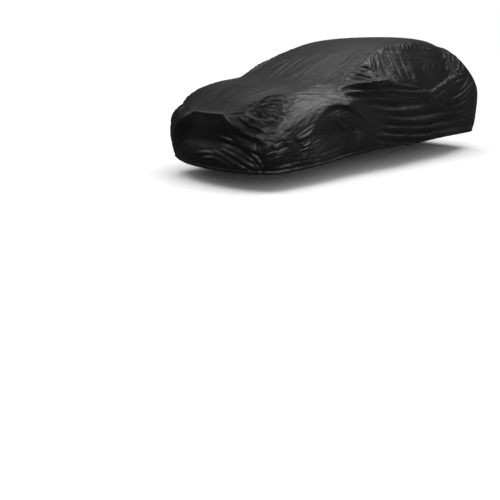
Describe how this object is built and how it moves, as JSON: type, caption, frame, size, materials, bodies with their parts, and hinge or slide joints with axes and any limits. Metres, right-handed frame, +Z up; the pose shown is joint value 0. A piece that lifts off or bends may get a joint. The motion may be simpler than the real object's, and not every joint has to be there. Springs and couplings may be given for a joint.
{
  "type": "car cover",
  "caption": "Fitted car cover of thin black polyester in its worn shape, hollow underneath, cut as a long top strip and two sides, with a drawn hem.",
  "frame": {"origin": "the rest under the crown, 2 mm below the cloth's inner face, 1.436 m above the ground that the cover hangs clear of", "axes": "-Y to the nose, +Z up, +X to the cover's left"},
  "size_m": [1.8722, 4.4188, 1.2704],
  "materials": {
    "black_polyester": "silky, finely creased"
  },
  "bodies": {
    "root": {"cover_top": "black_polyester", "cover_side_left": "black_polyester", "cover_side_right": "black_polyester"}
  },
  "joints": []
}
